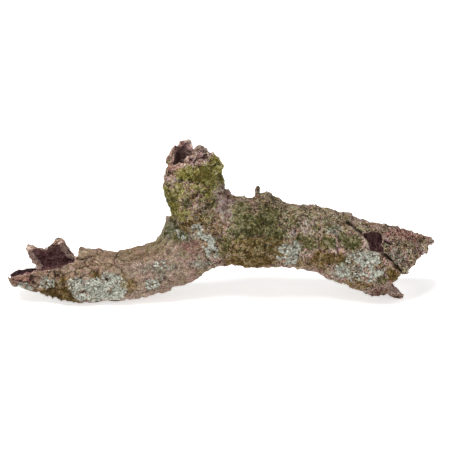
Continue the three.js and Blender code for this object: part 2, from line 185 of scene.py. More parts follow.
def unit(vectors):
    """Vectors of length 1 along the given ones."""
    return vectors / (np.linalg.norm(vectors, axis=1)[:, None] + 1e-9)


def modified(piece):
    """Makes what a piece's modifiers give its own mesh."""
    graph = bpy.context.evaluated_depsgraph_get()
    mesh = bpy.data.meshes.new_from_object(piece.evaluated_get(graph))
    piece.modifiers.clear()
    piece.data = mesh
    mesh.name = piece.name


wall = bpy.data.objects.new("bark_wall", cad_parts["bark"].data.copy())
scene.collection.objects.link(wall)
rough_form = bmesh.new()
rough_form.from_mesh(wall.data)
bmesh.ops.remove_doubles(rough_form, verts=rough_form.verts, dist=1e-6)
rough_form.to_mesh(wall.data)
rough_form.free()
remesh = wall.modifiers.new("even faces", "REMESH")
remesh.mode = "VOXEL"
remesh.voxel_size = WALL_VOXEL
modified(wall)

# The middle line of the arch and of the stub, in millimetres: x, y, z, by which inside and outside are told
ARCH_LINE = [(-203, -5, 34), (-154, -4, 27), (-116, -3, 23), (-83, -2, 25), (-45, 0, 38), (-8, 1, 61),
             (19, 2, 67), (55, 2, 63), (93, 2, 57), (131, 4, 43), (169, 5, 32), (210, 6, 22)]
STUB_LINE = [(-14, 0, 76), (-20, -1, 91), (-25, -2, 107), (-27, -4, 124), (-30, -6, 146), (-36, -8, 175)]


def nearest_on_line(points, line):
    """The nearest places on a bent line, the line's directions there, and the distances to them."""
    stations = np.array(line) * MM
    best = np.full(len(points), 9.0)
    foot = np.zeros_like(points)
    heading = np.zeros_like(points)
    for start, end in zip(stations[:-1], stations[1:]):
        leg = end - start
        share = np.clip((points - start) @ leg / (leg @ leg), 0, 1)
        place = start + share[:, None] * leg
        gap = np.linalg.norm(points - place, axis=1)
        closer = gap < best
        best = np.where(closer, gap, best)
        foot[closer] = place[closer]
        heading[closer] = leg / np.linalg.norm(leg)
    return foot, heading, best


pairs = edges_of(wall.data)
move_points(wall.data, evened(points_of(wall.data)[0], pairs, 2))
points, normals = points_of(wall.data)


def limb_frame(points):
    """For each point: the outward direction from its limb, the limb's heading, and whether it is the stub."""
    arch_foot, arch_heading, arch_gap = nearest_on_line(points, ARCH_LINE)
    stub_foot, stub_heading, stub_gap = nearest_on_line(points, STUB_LINE)
    on_stub = (stub_gap < arch_gap) & (points[:, 2] > 82 * MM)
    foot = np.where(on_stub[:, None], stub_foot, arch_foot)
    heading = np.where(on_stub[:, None], stub_heading, arch_heading)
    outward = points - foot
    outward -= heading * (outward * heading).sum(axis=1)[:, None]
    return unit(outward), heading, on_stub


def near_tear(points):
    """1 where the wall is torn open: the arch's two ends and the stub's top."""
    x, z = points[:, 0], points[:, 2]
    ends = np.maximum(step_between(-124 * MM, -136 * MM, x), step_between(126 * MM, 136 * MM, x))
    return np.maximum(ends, step_between(126 * MM, 136 * MM, z))


# The dead twig ends, foot and tip in millimetres, which the weathering leaves thick
TWIGS = [[(33, 7, 97), (33.3, 7, 105)], [(5, 6, 96), (4.5, 7, 104)], [(-21, 2, 146), (-20.5, 1, 153)]]
TWIG_SWELL = 1.2

# The deep cracks where the front of the right arm has split from the flap, and two by the left trough
CRACK_DEPTH = 2.4
DEEP_CRACKS = [
    # half width, then across and down from one end of a crack to the other, all in photograph points
    (2.3, [(346, 222), (351, 226), (357, 231), (361, 234), (365, 236), (378, 236)]),
    (2.0, [(379, 250), (383, 255), (388, 259), (392, 264), (399, 271)]),
    (1.6, [(380, 243), (384, 241), (389, 244)]),
    (1.0, [(79, 259), (85, 258), (93, 256)]),
    (1.0, [(57, 270), (58, 276)]),
]

# Where the wall curls over at its tears, so that its inner face shows dry and tan or dark: half width, then
# a line of photograph points
CURLED_EDGES = [
    (4.2, [(27, 246), (31, 256), (38, 266)]),
    (2.4, [(38, 246), (46, 249)]),
    (3.0, [(58, 237), (63, 247), (69, 256), (80, 259)]),
    (9.0, [(394, 289), (404, 300)]),
    (2.4, [(170, 150), (171, 168)]),
    (2.2, [(177, 142), (186, 141), (193, 148)]),
]
DARK_EDGES = [(3.2, [(9, 276), (22, 271), (37, 268)])]

# Where the lower edge of the right end is worn away before its foot and between its two feet
WORN_DEPTH = 3.0
WORN_EDGES = [(5.0, [(361, 295), (369, 299)]), (2.4, [(387, 295), (387, 300)])]


def line_cover(points, normals, lines):
    """1 along lines drawn in photograph points, 0 beside them, and 0 on the far side if normals are given."""
    across, down = photo_place(points)
    across = across + 0.9 * waves(points, 3.2 * MM, 30)
    down = down + 0.9 * waves(points, 3.2 * MM, 31)
    cover = np.zeros(len(points))
    for half_width, line in lines:
        for (a, b), (c, d) in zip(line[:-1], line[1:]):
            share = ((across - a) * (c - a) + (down - b) * (d - b)) / ((c - a) ** 2 + (d - b) ** 2)
            share = np.clip(share, 0, 1)
            gap = np.hypot(across - a - share * (c - a), down - b - share * (d - b))
            cover = np.maximum(cover, step_between(half_width, 0.3 * half_width, gap))
    return cover if normals is None else cover * step_between(0, 0.3, normals @ np.array(BACK))


outward, heading, on_stub = limb_frame(points)
broad_normals = unit(evened(normals, pairs, 4))
facing_out = (broad_normals * outward).sum(axis=1)
inside = step_between(0.25, -0.2, facing_out)
torn = near_tear(points) * step_between(0.82, 0.5, facing_out) * step_between(-0.95, -0.6, facing_out)

# Weathering, in millimetres: plates with thin cracks on the left arm, long streaks where it rises, and a
# crumbly crust with small knobs on the stub and the right arm. The inside has long fibres.
KNOB_HEIGHT = 1.5
across, down = photo_place(points)
left_arm = step_between(195, 165, across) * (1 - on_stub)
plated = left_arm * step_between(132, 116, across)
streaky = left_arm - plated
along_limb = heading * (points * heading).sum(axis=1)[:, None]
swirl = np.stack([grain(points, 7 * MM, 40 + axis, 2) for axis in range(3)], axis=1)
plate_near, plate_gap, plate_number = crumbs(points + 1.6 * MM * swirl - 0.25 * along_limb, 11 * MM, 3)
_, scale_gap, scale_number = crumbs(points + 1.6 * MM * swirl - 0.7 * along_limb, 6 * MM, 4)
_, crust_gap, crust_number = crumbs(points + 0.9 * MM * swirl, 5 * MM, 5)
crumb_near, _, crumb_number = crumbs(points + 0.5 * MM * swirl, 3.1 * MM, 9)
plate_relief = 0.7 * (0.6 - plate_near) + 0.5 * (plate_number - 0.5)
plate_relief -= 0.9 * step_between(0.13, 0.02, plate_gap)
streak_relief = 0.9 * grain(points - 0.8 * along_limb, 3.6 * MM, 50, 3)
streak_relief += 0.6 * (scale_number - 0.5) - 0.4 * step_between(0.16, 0.03, scale_gap)
crust_relief = 1.0 * (crust_number - 0.5) - 0.4 * step_between(0.2, 0.04, crust_gap)
crust_relief += 1.3 * (0.6 - crumb_near) * (0.4 + crumb_number)
knob_near, _, knob_number = crumbs(points + 0.4 * MM * swirl, 6 * MM, 12)
crust_relief += KNOB_HEIGHT * step_between(0.34, 0.08, knob_near) * step_between(0.55, 0.7, knob_number)
outside_relief = (
    0.9 * grain(points, 16 * MM, 60)
    + 1.3 * (1 - left_arm) * waves(points, 10 * MM, 62)
    + 0.7 * grain(points, 6 * MM, 64, 3)
    + plated * plate_relief
    + streaky * streak_relief
    + (1 - left_arm) * crust_relief
    + 0.35 * grain(points, 2.4 * MM, 70, 2)
)
fibres = points - heading * ((points * heading).sum(axis=1) * 0.85)[:, None]
inside_relief = 0.8 * grain(fibres, 3.5 * MM, 80, 2) + 0.7 * grain(points, 9 * MM, 84)
inside_relief += 0.4 * grain(points, 2.4 * MM, 88, 1)
torn_relief = 1.5 * grain(points, 5 * MM, 90, 3) + 0.8 * grain(fibres, 2 * MM, 95, 2)
relief = (1 - inside) * outside_relief + inside * inside_relief
relief = (1 - torn) * relief + torn * torn_relief
stub_top = on_stub * step_between(126 * MM, 138 * MM, points[:, 2])
relief += stub_top * (1.7 * grain(points, 4.6 * MM, 61, 2) - 0.4)
relief += 0.7 * inside * near_tear(points) * grain(points, 5 * MM, 89, 2)
relief -= CRACK_DEPTH * line_cover(points, broad_normals, DEEP_CRACKS) * (1 - inside)
relief -= WORN_DEPTH * line_cover(points, None, WORN_EDGES)
for twig in TWIGS:
    relief += TWIG_SWELL * step_between(4.2 * MM, 2.4 * MM, nearest_on_line(points, twig)[2])

# The faces that the piece stands on stay flat, and the sharp left tip only wears down
flat_foot = step_between(2.5 * MM, 0.6 * MM, points[:, 2])
relief *= 1 - flat_foot
relief = np.where(points[:, 0] < -194 * MM, np.minimum(relief, 0), relief)

# The tears are ragged, and the left of the stub's rim leans in
RAGGED_REACH = 0.8 * MM
RIM_LEAN = 2.4 * MM
ragged = near_tear(points) * (1 - flat_foot) * step_between(-196 * MM, -188 * MM, points[:, 0])
wander = np.stack([grain(points, 5 * MM, 170 + axis, 2) for axis in range(3)], axis=1)
points = points + normals * (relief * MM)[:, None] + wander * (RAGGED_REACH * ragged)[:, None]
rim = on_stub * step_between(140, 150, points[:, 2] / MM) * step_between(-25, -30, points[:, 0] / MM)
points[:, 0] += RIM_LEAN * rim
points[:, 2] = np.maximum(points[:, 2], 0)
move_points(wall.data, points)


def mark(mesh, name, values):
    """Stores a number for each point of a mesh, for the colours to follow."""
    attribute = mesh.attributes.new(name, "FLOAT", "POINT")
    attribute.data.foreach_set("value", values.astype(np.float32))


def drop_specks(mesh, fewest):
    """Deletes the loose specks, of under so many points, that thinning leaves beside a piece."""
    form = bmesh.new()
    form.from_mesh(mesh)
    reached, specks = set(), []
    for seed_point in form.verts:
        if seed_point in reached:
            continue
        reached.add(seed_point)
        body, waiting = [], [seed_point]
        while waiting:
            point = waiting.pop()
            body.append(point)
            for edge in point.link_edges:
                other = edge.other_vert(point)
                if other not in reached:
                    reached.add(other)
                    waiting.append(other)
        if len(body) < fewest:
            specks += body
    bmesh.ops.delete(form, geom=specks, context="VERTS")
    form.to_mesh(mesh)
    form.free()


mark(wall.data, "plate_seam", plated * (1 - inside) * step_between(0.12, 0.03, plate_gap))
thin_out = wall.modifiers.new("fewer faces", "DECIMATE")
thin_out.use_collapse_triangulate = True
triangle_count = sum(len(face.vertices) - 2 for face in wall.data.polygons)
thin_out.ratio = min(1, WALL_FACES / triangle_count)
modified(wall)
drop_specks(wall.data, SPECK_POINTS)
for face in wall.data.polygons:
    face.use_smooth = True

# What the skin's colours follow: height over the smoothed surface, which gives painted shade in dips and
# hollows and a painted highlight on rises, inside or outside, tears, and growth
GROWTH = {
    # growths and bark kinds: across, down, half width, half height in the photograph, and strength
    "bright_moss": [
        (207, 177, 16, 8, 1.4), (190, 176, 11, 7, 1.1), (216, 170, 7, 10, 1.4), (173, 208, 8, 9, 0.9),
        (180, 193, 10, 8, 0.7), (198, 187, 10, 6, 0.7), (208, 196, 7, 8, 0.5), (184, 214, 8, 6, 0.6),
        (214, 186, 6, 6, 0.6), (168, 192, 5, 8, 0.7), (178, 222, 6, 5, 0.4), (206, 218, 8, 6, 0.35),
    ],
    "dark_moss": [
        (240, 215, 10, 12, 0.9), (252, 226, 14, 12, 1.0), (266, 220, 12, 12, 1.0), (273, 234, 9, 8, 1.1),
        (236, 232, 9, 10, 0.7), (170, 229, 8, 9, 0.5), (171, 198, 5, 10, 0.7), (186, 204, 5, 5, 0.6),
        (214, 204, 4, 5, 0.6), (180, 236, 8, 5, 0.8), (291, 222, 7, 5, 0.6), (307, 243, 7, 6, 1.1),
        (349, 243, 8, 6, 1.3), (326, 242, 7, 5, 1.2), (327, 222, 5, 4, 0.6), (300, 238, 6, 4, 0.8),
        (255, 249, 26, 7, 0.45), (225, 246, 8, 9, 0.7), (313, 228, 5, 4, 0.5), (340, 236, 4, 4, 0.7),
        (381, 280, 5, 3, 0.7), (203, 200, 5, 6, 0.4), (340, 262, 5, 4, 0.5), (60, 282, 5, 3, 0.5),
    ],
    "ochre_moss": [
        (62, 294, 15, 8, 1.0), (52, 286, 9, 5, 0.9), (70, 298, 8, 4, 1.0), (66, 280, 6, 4, 0.6),
        (97, 275, 5, 3, 0.9), (130, 284, 9, 6, 0.8), (124, 278, 4, 4, 0.6), (48, 290, 10, 4, 0.7),
        (250, 250, 22, 8, 1.0), (232, 250, 12, 6, 0.6), (255, 242, 28, 6, 0.8), (276, 245, 12, 9, 0.8),
        (250, 260, 20, 5, 1.5), (280, 250, 8, 8, 0.7), (216, 226, 10, 12, 0.5), (197, 222, 12, 9, 0.6),
        (190, 200, 8, 8, 0.4), (155, 281, 6, 3, 0.4), (326, 258, 8, 5, 1.1), (322, 246, 5, 4, 0.7),
        (318, 258, 6, 9, 1.0), (339, 258, 5, 5, 1.0), (391, 273, 5, 7, 1.1), (354, 284, 18, 4, 0.6),
        (378, 262, 4, 4, 0.6), (186, 228, 6, 6, 0.6), (305, 262, 10, 5, 0.5),
    ],
    "pink_bark": [
        (190, 246, 6, 4, 1.0), (198, 190, 6, 3, 0.8), (191, 207, 4, 4, 0.8), (231, 197, 7, 4, 0.7),
        (196, 161, 12, 7, 1.3), (212, 156, 5, 5, 0.6), (302, 232, 14, 8, 0.6), (349, 231, 9, 5, 0.7),
        (336, 249, 9, 5, 1.4), (226, 210, 9, 14, 1.7), (150, 272, 30, 8, 0.4), (378, 292, 8, 6, 1.0),
        (404, 252, 20, 14, 0.45), (310, 215, 30, 6, 0.3),
    ],
    # lighter spots: partly pale bark, partly painted light, most of all low on the right of the stub
    "pale_bark_and_light": [
        (150, 266, 24, 7, 0.5), (185, 268, 16, 6, 0.5), (226, 211, 9, 14, 3.2), (176, 160, 6, 12, 1.2),
        (95, 260, 22, 12, 1.0), (408, 234, 16, 4, 0.8), (336, 248, 8, 4, 0.8), (310, 232, 10, 6, 0.5),
        (194, 154, 8, 4, 0.9), (350, 229, 9, 3, 0.9), (361, 241, 4, 5, 0.8), (391, 268, 5, 6, 0.6),
        (206, 158, 9, 7, 0.5), (118, 258, 10, 6, 0.4), (90, 262, 8, 6, 0.4), (213, 155, 5, 4, 0.8),
        (167, 178, 4, 3, 0.9), (175, 175, 3, 2, 0.9), (128, 252, 20, 3, 0.3),
    ],
    "tan_bark": [
        (95, 260, 24, 14, 1.0), (60, 276, 24, 6, 0.9), (140, 252, 26, 8, 0.9), (28, 281, 14, 4, 0.5),
        (386, 268, 9, 9, 1.0), (213, 156, 6, 6, 0.6), (180, 272, 30, 10, 0.4), (356, 236, 9, 8, 0.5),
        (178, 215, 10, 10, 0.4), (310, 262, 24, 8, 0.4),
    ],
    "red_rot": [
        (172, 160, 6, 13, 1.6), (177, 170, 7, 7, 1.2), (182, 163, 9, 3, 0.8), (190, 247, 11, 7, 0.5),
        (402, 233, 13, 4, 1.7), (416, 237, 10, 4, 1.6), (23, 277, 14, 5, 1.0), (395, 291, 9, 7, 0.9),
        (379, 293, 7, 5, 0.7), (231, 197, 8, 4, 0.8), (372, 224, 16, 3, 0.5),
    ],
    "green_film": [
        (300, 212, 30, 7, 0.8), (264, 200, 14, 7, 0.8), (330, 226, 22, 8, 0.6), (155, 240, 14, 10, 0.8),
        (130, 256, 14, 6, 0.4), (365, 229, 14, 5, 0.7), (392, 250, 12, 8, 0.6), (345, 262, 12, 8, 0.6),
        (205, 205, 12, 14, 0.6), (226, 240, 20, 12, 0.6), (182, 204, 14, 24, 0.5),
        (285, 240, 14, 14, 0.5), (90, 254, 10, 5, 0.3), (110, 272, 30, 4, 0.3),
    ],
    "grey_film": [
        (171, 229, 9, 9, 0.9), (183, 236, 9, 5, 0.9), (242, 218, 6, 9, 0.8), (335, 231, 10, 5, 0.5),
        (352, 250, 8, 6, 0.6), (200, 262, 10, 6, 0.6), (160, 268, 18, 6, 0.5), (300, 225, 10, 6, 0.4),
        (222, 250, 8, 6, 0.5), (262, 210, 6, 5, 0.4), (345, 272, 12, 6, 0.6), (108, 276, 14, 4, 0.5),
        (392, 256, 9, 7, 0.5), (288, 238, 8, 6, 0.5),
    ],
    # darker spots: partly dark bark, partly painted shade
    "dark_bark_and_shade": [
        (400, 252, 22, 20, 0.9), (380, 292, 9, 7, 1.6), (250, 265, 40, 3, 0.7), (350, 232, 10, 3, 0.3),
        (268, 202, 20, 9, 1.0), (255, 240, 30, 16, 0.5), (172, 160, 6, 14, 0.6), (320, 264, 30, 6, 0.3),
        (257, 187, 5, 6, 1.8), (62, 290, 18, 10, 1.8), (262, 222, 12, 10, 0.5), (28, 279, 16, 5, 1.2),
        (128, 255, 26, 8, 1.3), (150, 268, 30, 8, 0.5), (393, 270, 12, 8, 0.5), (171, 205, 7, 14, 1.8),
        (204, 149, 4, 5, 1.4), (203, 157, 10, 6, 0.7), (396, 293, 8, 7, 1.2), (186, 244, 10, 6, 0.8),
        (206, 175, 7, 5, 1.2), (208, 197, 5, 7, 1.0), (190, 185, 6, 4, 0.8), (213, 163, 5, 4, 0.7),
        (181, 222, 6, 5, 0.8),
    ],
}


def patches(points, normals, spots):
    """How strongly patches drawn in photograph points cover each point, fading out round the far side."""
    across, down = photo_place(points)
    seen = step_between(-0.45, 0.15, normals @ np.array(BACK))
    cover = np.zeros(len(points))
    for spot_across, spot_down, half_width, half_height, strength in spots:
        off = ((across - spot_across) / half_width) ** 2 + ((down - spot_down) / half_height) ** 2
        cover = np.maximum(cover, strength * np.exp(-0.6 * off ** 1.3))
    return cover * seen


points, normals = points_of(wall.data)
pairs = edges_of(wall.data)
outward, heading, on_stub = limb_frame(points)
broad_normals = unit(evened(normals, pairs, 6))
facing_out = (broad_normals * outward).sum(axis=1)
twig_gap = np.min([nearest_on_line(points, twig)[2] for twig in TWIGS], axis=0)
inside = step_between(0.2, -0.15, facing_out) * step_between(3.5 * MM, 5.5 * MM, twig_gap)
torn = near_tear(points) * step_between(0.85, 0.6, facing_out) * step_between(-0.9, -0.5, facing_out)
torn *= 1 - 0.55 * on_stub * step_between(-27 * MM, -21 * MM, points[:, 0])
across, down = photo_place(points)
left_arm = step_between(195, 165, across) * (1 - on_stub)
along_limb = heading * (points * heading).sum(axis=1)[:, None]
near_height = ((points - evened(points, pairs, 5)) * normals).sum(axis=1) / MM
far_height = ((points - evened(points, pairs, 40)) * broad_normals).sum(axis=1) / MM
# Painted shade in the small dips of the wall, which also holds the cracks' own dark
mark(wall.data, "crack_shade", step_between(-0.04, -0.34, near_height))
# Painted highlight on the small rises of the wall
mark(wall.data, "ridge_highlight", step_between(0.04, 0.26, near_height))
# Painted shade in the wall's broad hollows
mark(wall.data, "hollow_shade", step_between(0.1, -1.1, far_height))
mark(wall.data, "inside", inside)
mark(wall.data, "torn", torn)
# Painted shadow along the deep cracks, where the near wall's torn edge stands over the flap
mark(wall.data, "split_shadow", line_cover(points, broad_normals, DEEP_CRACKS) * (1 - inside))
mark(wall.data, "curled", line_cover(points, broad_normals, CURLED_EDGES) * inside)
mark(wall.data, "shaded", line_cover(points, broad_normals, DARK_EDGES) * inside)
below_fork = step_between(216, 190, across) * step_between(232, 244, down) * (1 - on_stub)
mark(wall.data, "smooth", np.maximum(left_arm, below_fork))

# Daylight reaches into the right end, and most of all to the stub's inner wall below its rim
STUB_DAYLIGHT = 3.6
x_mm, z_mm = points[:, 0] / MM, points[:, 2] / MM
in_stub = step_between(115, 134, z_mm) * step_between(158, 143, z_mm)
mark(wall.data, "daylight", step_between(152, 168, x_mm) + STUB_DAYLIGHT * in_stub)
mark(wall.data, "streak", left_arm * grain(points - 0.88 * along_limb, 2.6 * MM, 140, 2))

# Moss also grows over the top and the shaded back, where the photograph doesn't look
upward = step_between(-0.1, 0.8, broad_normals[:, 2])
away = step_between(0.2, -0.5, broad_normals @ np.array(BACK))
fork_region = step_between(-75, -30, x_mm) * step_between(150, 60, x_mm)
back_moss = away * (0.35 + 0.65 * fork_region)
back_moss *= step_between(-0.25, 0.5, grain(points, 34 * MM, 110) + 0.5 * upward)
growth = {name: patches(points, broad_normals, spots) for name, spots in GROWTH.items()}
on_arch = 1 - on_stub
back_growth = {
    "bright_moss": 0.8 * back_moss * on_stub * step_between(150, 135, z_mm),
    "dark_moss": 0.7 * back_moss * on_arch * (0.5 + 0.5 * upward),
    "ochre_moss": 0.55 * back_moss * on_arch * (1 - upward),
    "green_film": 0.6 * away * step_between(-0.3, 0.5, grain(points, 26 * MM, 120)),
    "pink_bark": 0.5 * away * step_between(0, 0.6, grain(points, 22 * MM, 130)),
}
for name, cover in back_growth.items():
    growth[name] = np.maximum(growth[name], cover)

# Some kinds also come in small spots all over the bark, up to these strengths
SCATTERED = {"pink_bark": 0.9, "green_film": 0.6, "tan_bark": 0.6, "ochre_moss": 0.25}
for order, (name, most) in enumerate(SCATTERED.items()):
    scattered = most * (1 - 0.6 * left_arm) * step_between(0.05, 0.6, grain(points, 9 * MM, 150 + order, 2))
    growth[name] = np.maximum(growth[name], scattered)
outer_skin = (1 - inside) * (1 - 0.8 * torn)
for name, cover in growth.items():
    mark(wall.data, name, cover * outer_skin)


def tone(red, green, blue):
    """A colour as it looks on a screen, from 0 to 255, as the shader's linear colour."""
    return tuple(((part / 255 + 0.055) / 1.055) ** 2.4 for part in (red, green, blue)) + (1,)


class Finish:
    """A node material that is built up step by step, each step giving the socket to use next."""

    def __init__(self, name, roughness):
        self.material = bpy.data.materials.new(name)
        self.material.use_nodes = True
        self.tree = self.material.node_tree
        self.shader = self.tree.nodes["Principled BSDF"]
        self.shader.inputs["Roughness"].default_value = roughness
        self.place = self.tree.nodes.new("ShaderNodeTexCoord").outputs["Object"]

    def node(self, kind, inputs=None, **settings):
        """A new node, with its inputs set or linked."""
        made = self.tree.nodes.new(kind)
        for key, value in settings.items():
            setattr(made, key, value)
        for key, value in (inputs or {}).items():
            if isinstance(value, bpy.types.NodeSocket):
                self.tree.links.new(value, made.inputs[key])
            else:
                made.inputs[key].default_value = value
        return made

    def mark(self, name):
        """The number that a piece's points store under a name."""
        return self.node("ShaderNodeAttribute", attribute_name=name).outputs["Fac"]

    def noise(self, size, detail, roughness, warp=0.0):
        inputs = {"Vector": self.place, "Scale": 1 / size, "Detail": detail}
        inputs.update({"Roughness": roughness, "Distortion": warp})
        return self.node("ShaderNodeTexNoise", inputs).outputs["Fac"]

    def stirred(self, size, reach):
        """The object's coordinates, moved about by noise, so that cells lose their straight sides."""
        stir = self.node("ShaderNodeTexNoise", {"Vector": self.place, "Scale": 1 / size, "Detail": 2})
        inputs = {0: stir.outputs["Color"], 1: (reach, reach, reach), 2: self.place}
        return self.node("ShaderNodeVectorMath", inputs, operation="MULTIPLY_ADD").outputs[0]

    def cells(self, place, size, feature, output):
        made = self.node("ShaderNodeTexVoronoi", {"Vector": place, "Scale": 1 / size}, feature=feature)
        return made.outputs[output]

    def cell_number(self, place, size):
        """A number from 0 to 1 for each cell."""
        return self.node("ShaderNodeSeparateColor", {0: self.cells(place, size, "F1", "Color")}).outputs[0]

    def sum(self, *parts):
        """The sum of sockets, each given with its factor, and of plain numbers."""
        total = None
        for part in parts:
            if isinstance(part, tuple):
                part = self.times(*part)
            total = part if total is None else self.math("ADD", total, part)
        return total

    def math(self, operation, first, second):
        return self.node("ShaderNodeMath", {0: first, 1: second}, operation=operation).outputs[0]

    def times(self, first, second):
        return self.math("MULTIPLY", first, second)

    def between(self, value, low, high):
        """0 below low, 1 above high, and smooth between."""
        inputs = {"Value": value, "From Min": low, "From Max": high}
        return self.node("ShaderNodeMapRange", inputs, interpolation_type="SMOOTHSTEP").outputs["Result"]

    def ramp(self, value, *tones):
        """A colour from a value from 0 to 1, through evenly spaced tones from dark to light."""
        made = self.node("ShaderNodeValToRGB", {"Fac": value})
        stops = made.color_ramp.elements
        stops[0].color, stops[1].color = tones[0], tones[-1]
        for order, shade in enumerate(tones[1:-1], start=1):
            stops.new(order / (len(tones) - 1)).color = shade
        return made.outputs["Color"]

    def mix(self, factor, first, second, blend="MIX"):
        inputs = {"Factor": factor, 6: first, 7: second}
        return self.node("ShaderNodeMix", inputs, data_type="RGBA", blend_type=blend).outputs[2]

    def colour(self, socket):
        self.tree.links.new(socket, self.shader.inputs["Base Color"])

    def bump(self, *layers):
        """Bumps from pairs of a height socket and a height in metres."""
        normal = None
        for height, metres in layers:
            made = self.node("ShaderNodeBump", {"Height": height, "Distance": metres, "Strength": 1.0})
            if normal is not None:
                self.tree.links.new(normal, made.inputs["Normal"])
            normal = made.outputs["Normal"]
        self.tree.links.new(normal, self.shader.inputs["Normal"])


bark_skin = Finish("weathered bark", 0.95)
bark_skin.shader.inputs["Specular IOR Level"].default_value = 0.12
patchy = bark_skin.noise(8 * MM, 5, 0.65, 0.6)
spread = bark_skin.noise(3.4 * MM, 5, 0.75, 0.3)
fine = bark_skin.noise(1.8 * MM, 3, 0.65)
grit = bark_skin.noise(0.9 * MM, 2, 0.6)
stirred = bark_skin.stirred(3 * MM, 1.6 * MM)
granule = bark_skin.cell_number(stirred, 1.8 * MM)
clod = bark_skin.cell_number(stirred, 4.6 * MM)
seam = bark_skin.cells(stirred, 2.6 * MM, "DISTANCE_TO_EDGE", "Distance")
crevice = bark_skin.between(seam, 0.12, 0.0)
# How light the skin is, from 0 to 1: noises and marks, each with its share, among them painted shade in
# cracks and hollows and a painted highlight on rises
light = bark_skin.sum(
    (fine, 1.1), (grit, 2.8), (patchy, 0.8), (spread, 0.3), (granule, 0.34), (clod, 0.1), (crevice, -0.16),
    (bark_skin.mark("crack_shade"), -0.16), (bark_skin.mark("ridge_highlight"), 0.1), (bark_skin.mark("hollow_shade"), -0.12),
    (bark_skin.mark("dark_bark_and_shade"), -0.16), (bark_skin.mark("pale_bark_and_light"), 0.17), -2.17,
)
calmer = bark_skin.times(bark_skin.math("SUBTRACT", 0.66, light), 0.6)
open_seam = bark_skin.times(bark_skin.mark("plate_seam"), bark_skin.between(spread, 0.35, 0.6))
light = bark_skin.sum(
    light, (calmer, bark_skin.mark("smooth")), (bark_skin.mark("streak"), 0.17),
    (bark_skin.mark("smooth"), -0.07), (open_seam, -0.45),
)
skin = bark_skin.ramp(
    light, tone(44, 33, 27), tone(88, 70, 58), tone(126, 106, 91), tone(153, 132, 115), tone(178, 158, 142),
    tone(206, 190, 176),
)
BARK_KINDS = {
    # how much of it covers, and its tones from dark to light
    "tan_bark": (0.9, (52, 36, 24), (100, 78, 58), (140, 115, 92), (166, 141, 117), (200, 178, 154)),
    "pink_bark": (0.85, (54, 36, 34), (108, 80, 74), (152, 119, 110), (182, 152, 143), (214, 192, 184)),
    "red_rot": (0.9, (38, 20, 20), (78, 48, 42), (122, 80, 68), (166, 122, 104), (208, 176, 160)),
    "green_film": (0.8, (38, 32, 18), (86, 76, 48), (124, 113, 78), (152, 142, 106), (186, 177, 146)),
    "grey_film": (0.8, (38, 40, 34), (80, 86, 74), (116, 124, 108), (148, 156, 140), (186, 192, 178)),
    "ochre_moss": (0.9, (38, 26, 10), (77, 58, 24), (115, 90, 45), (150, 121, 70), (188, 163, 114)),
    "dark_moss": (0.9, (28, 26, 10), (58, 54, 20), (92, 86, 42), (124, 117, 68), (168, 160, 112)),
    "bright_moss": (0.9, (46, 43, 12), (90, 83, 30), (126, 118, 56), (160, 152, 86), (196, 188, 132)),
}
for kind, (most, *shades) in BARK_KINDS.items():
    strength = bark_skin.mark(kind)
    edge = bark_skin.sum((strength, 0.8), (spread, 2.6), (fine, 1.6), (grit, 1.0), -2.6)
    cover = bark_skin.times(bark_skin.between(edge, 0.3, 0.55), bark_skin.between(strength, 0.05, 0.3))
    shade = bark_skin.ramp(light, *(tone(*parts) for parts in shades))
    skin = bark_skin.mix(bark_skin.times(cover, most), skin, shade)

# Specks of other hues, then the dark of cracks with painted shade in them and a painted shadow along the deep
# splits, the rotted inner face, and the pale broken edges
hues = bark_skin.node("ShaderNodeTexNoise", {"Vector": bark_skin.place, "Scale": 1 / (3.6 * MM), "Detail": 3})
speckled = bark_skin.sum((bark_skin.mark("smooth"), -0.22), 0.42)
skin = bark_skin.mix(speckled, skin, hues.outputs["Color"], "OVERLAY")
# Painted shade deep in the cracks, over their own dark
deep = bark_skin.between(bark_skin.sum(bark_skin.mark("crack_shade"), (fine, 0.8), -0.4), 0.35, 1.1)
skin = bark_skin.mix(bark_skin.times(deep, 0.35), skin, tone(46, 33, 27))
# A painted shadow, near black, along the deep splits where one wall passes behind another
skin = bark_skin.mix(bark_skin.times(bark_skin.mark("split_shadow"), 0.95), skin, tone(30, 19, 18))
rotted = bark_skin.ramp(
    bark_skin.sum(
        (fine, 1.4), (grit, 0.8), (patchy, 0.9), (bark_skin.mark("crack_shade"), -0.2),
        (bark_skin.mark("daylight"), 0.15), -0.95,
    ),
    tone(64, 38, 42), tone(106, 70, 72), tone(146, 108, 106), tone(190, 158, 150),
)
within = bark_skin.between(bark_skin.sum(bark_skin.mark("inside"), (fine, 0.3), -0.15), 0.4, 0.6)
skin = bark_skin.mix(within, skin, rotted)
skin = bark_skin.mix(bark_skin.between(bark_skin.mark("shaded"), 0.2, 0.7), skin, tone(44, 28, 32))
broken = bark_skin.ramp(
    bark_skin.sum((fine, 1.5), (grit, 1.0), (patchy, 0.6), -1.05),
    tone(66, 42, 36), tone(118, 88, 74), tone(164, 132, 114), tone(206, 178, 162), tone(228, 208, 196),
)
torn_edge = bark_skin.between(bark_skin.sum(bark_skin.mark("torn"), (fine, 0.7), -0.35), 0.45, 0.85)
skin = bark_skin.mix(bark_skin.times(torn_edge, 0.85), skin, broken)
curled = bark_skin.between(bark_skin.sum(bark_skin.mark("curled"), (fine, 0.8), (grit, 0.6), -0.7), 0.12, 0.4)
dry = bark_skin.ramp(
    bark_skin.sum((fine, 1.5), (grit, 1.6), (spread, 0.7), -1.25),
    tone(90, 62, 52), tone(150, 116, 98), tone(196, 162, 142), tone(228, 200, 184), tone(244, 226, 214),
)
skin = bark_skin.mix(bark_skin.times(curled, 0.9), skin, dry)
bark_skin.colour(skin)
